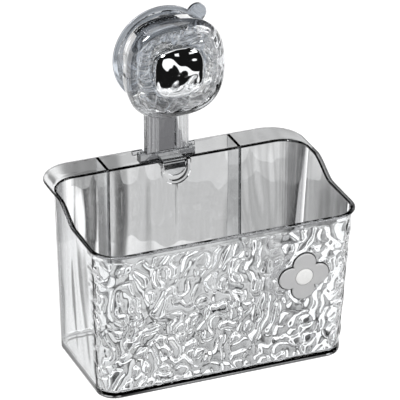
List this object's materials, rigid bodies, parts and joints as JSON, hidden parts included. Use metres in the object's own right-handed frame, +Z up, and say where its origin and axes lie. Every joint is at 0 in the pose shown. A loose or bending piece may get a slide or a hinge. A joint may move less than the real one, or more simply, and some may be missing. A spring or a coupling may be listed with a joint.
{
  "type": "suction wall basket",
  "caption": "Clear tapered wall basket with a hammered front and a flower ornament, lifted off a hanger bracket held by a twist-lock suction cup.",
  "frame": {"origin": "centre of the suction cup, on the face that meets the wall", "axes": "+X to the right seen from the front, +Y into the wall, +Z up"},
  "size_m": [0.208, 0.14, 0.2497],
  "materials": {
    "clear_plastic": "clear, glossy, hammered on the front and the knob",
    "petal_plastic": "satin grey",
    "white_plastic": "gloss white",
    "soft_vinyl": "soft, translucent, slightly blue",
    "steel": "plain",
    "slip_plastic": "plain natural",
    "mirror_plating": "mirror bright"
  },
  "bodies": {
    "bracket": {"hanger_bracket": "clear_plastic", "suction_pad": "soft_vinyl", "glide_washer": "slip_plastic"},
    "knob": {"knob_cover": "clear_plastic", "cam_bush": "slip_plastic", "mirror_cap": "mirror_plating"},
    "stud": {"pad_stud": "steel", "cam_pin": "steel"},
    "basket": {"basket_bin": "clear_plastic", "flower_petals": "petal_plastic", "flower_centre": "white_plastic"}
  },
  "joints": [
    {"name": "knob_twist", "type": "hinge", "parent": "bracket", "child": "knob", "pos_m": [0, -0.025, 0], "axis": [0, -1, 0], "range_deg": [0, 90]},
    {"name": "stud_draw", "type": "slide", "parent": "bracket", "child": "stud", "axis": [0, 1, 0], "range_m": [0, 0.004], "deforming": ["suction_pad"]},
    {"name": "basket_lift", "type": "slide", "parent": "bracket", "child": "basket", "axis": [0, 0, 1], "range_m": [0, 0.004]}
  ],
  "couplings": [
    {"joint": "stud_draw", "follows": "knob_twist", "m_per_rad": 0.002546}
  ]
}
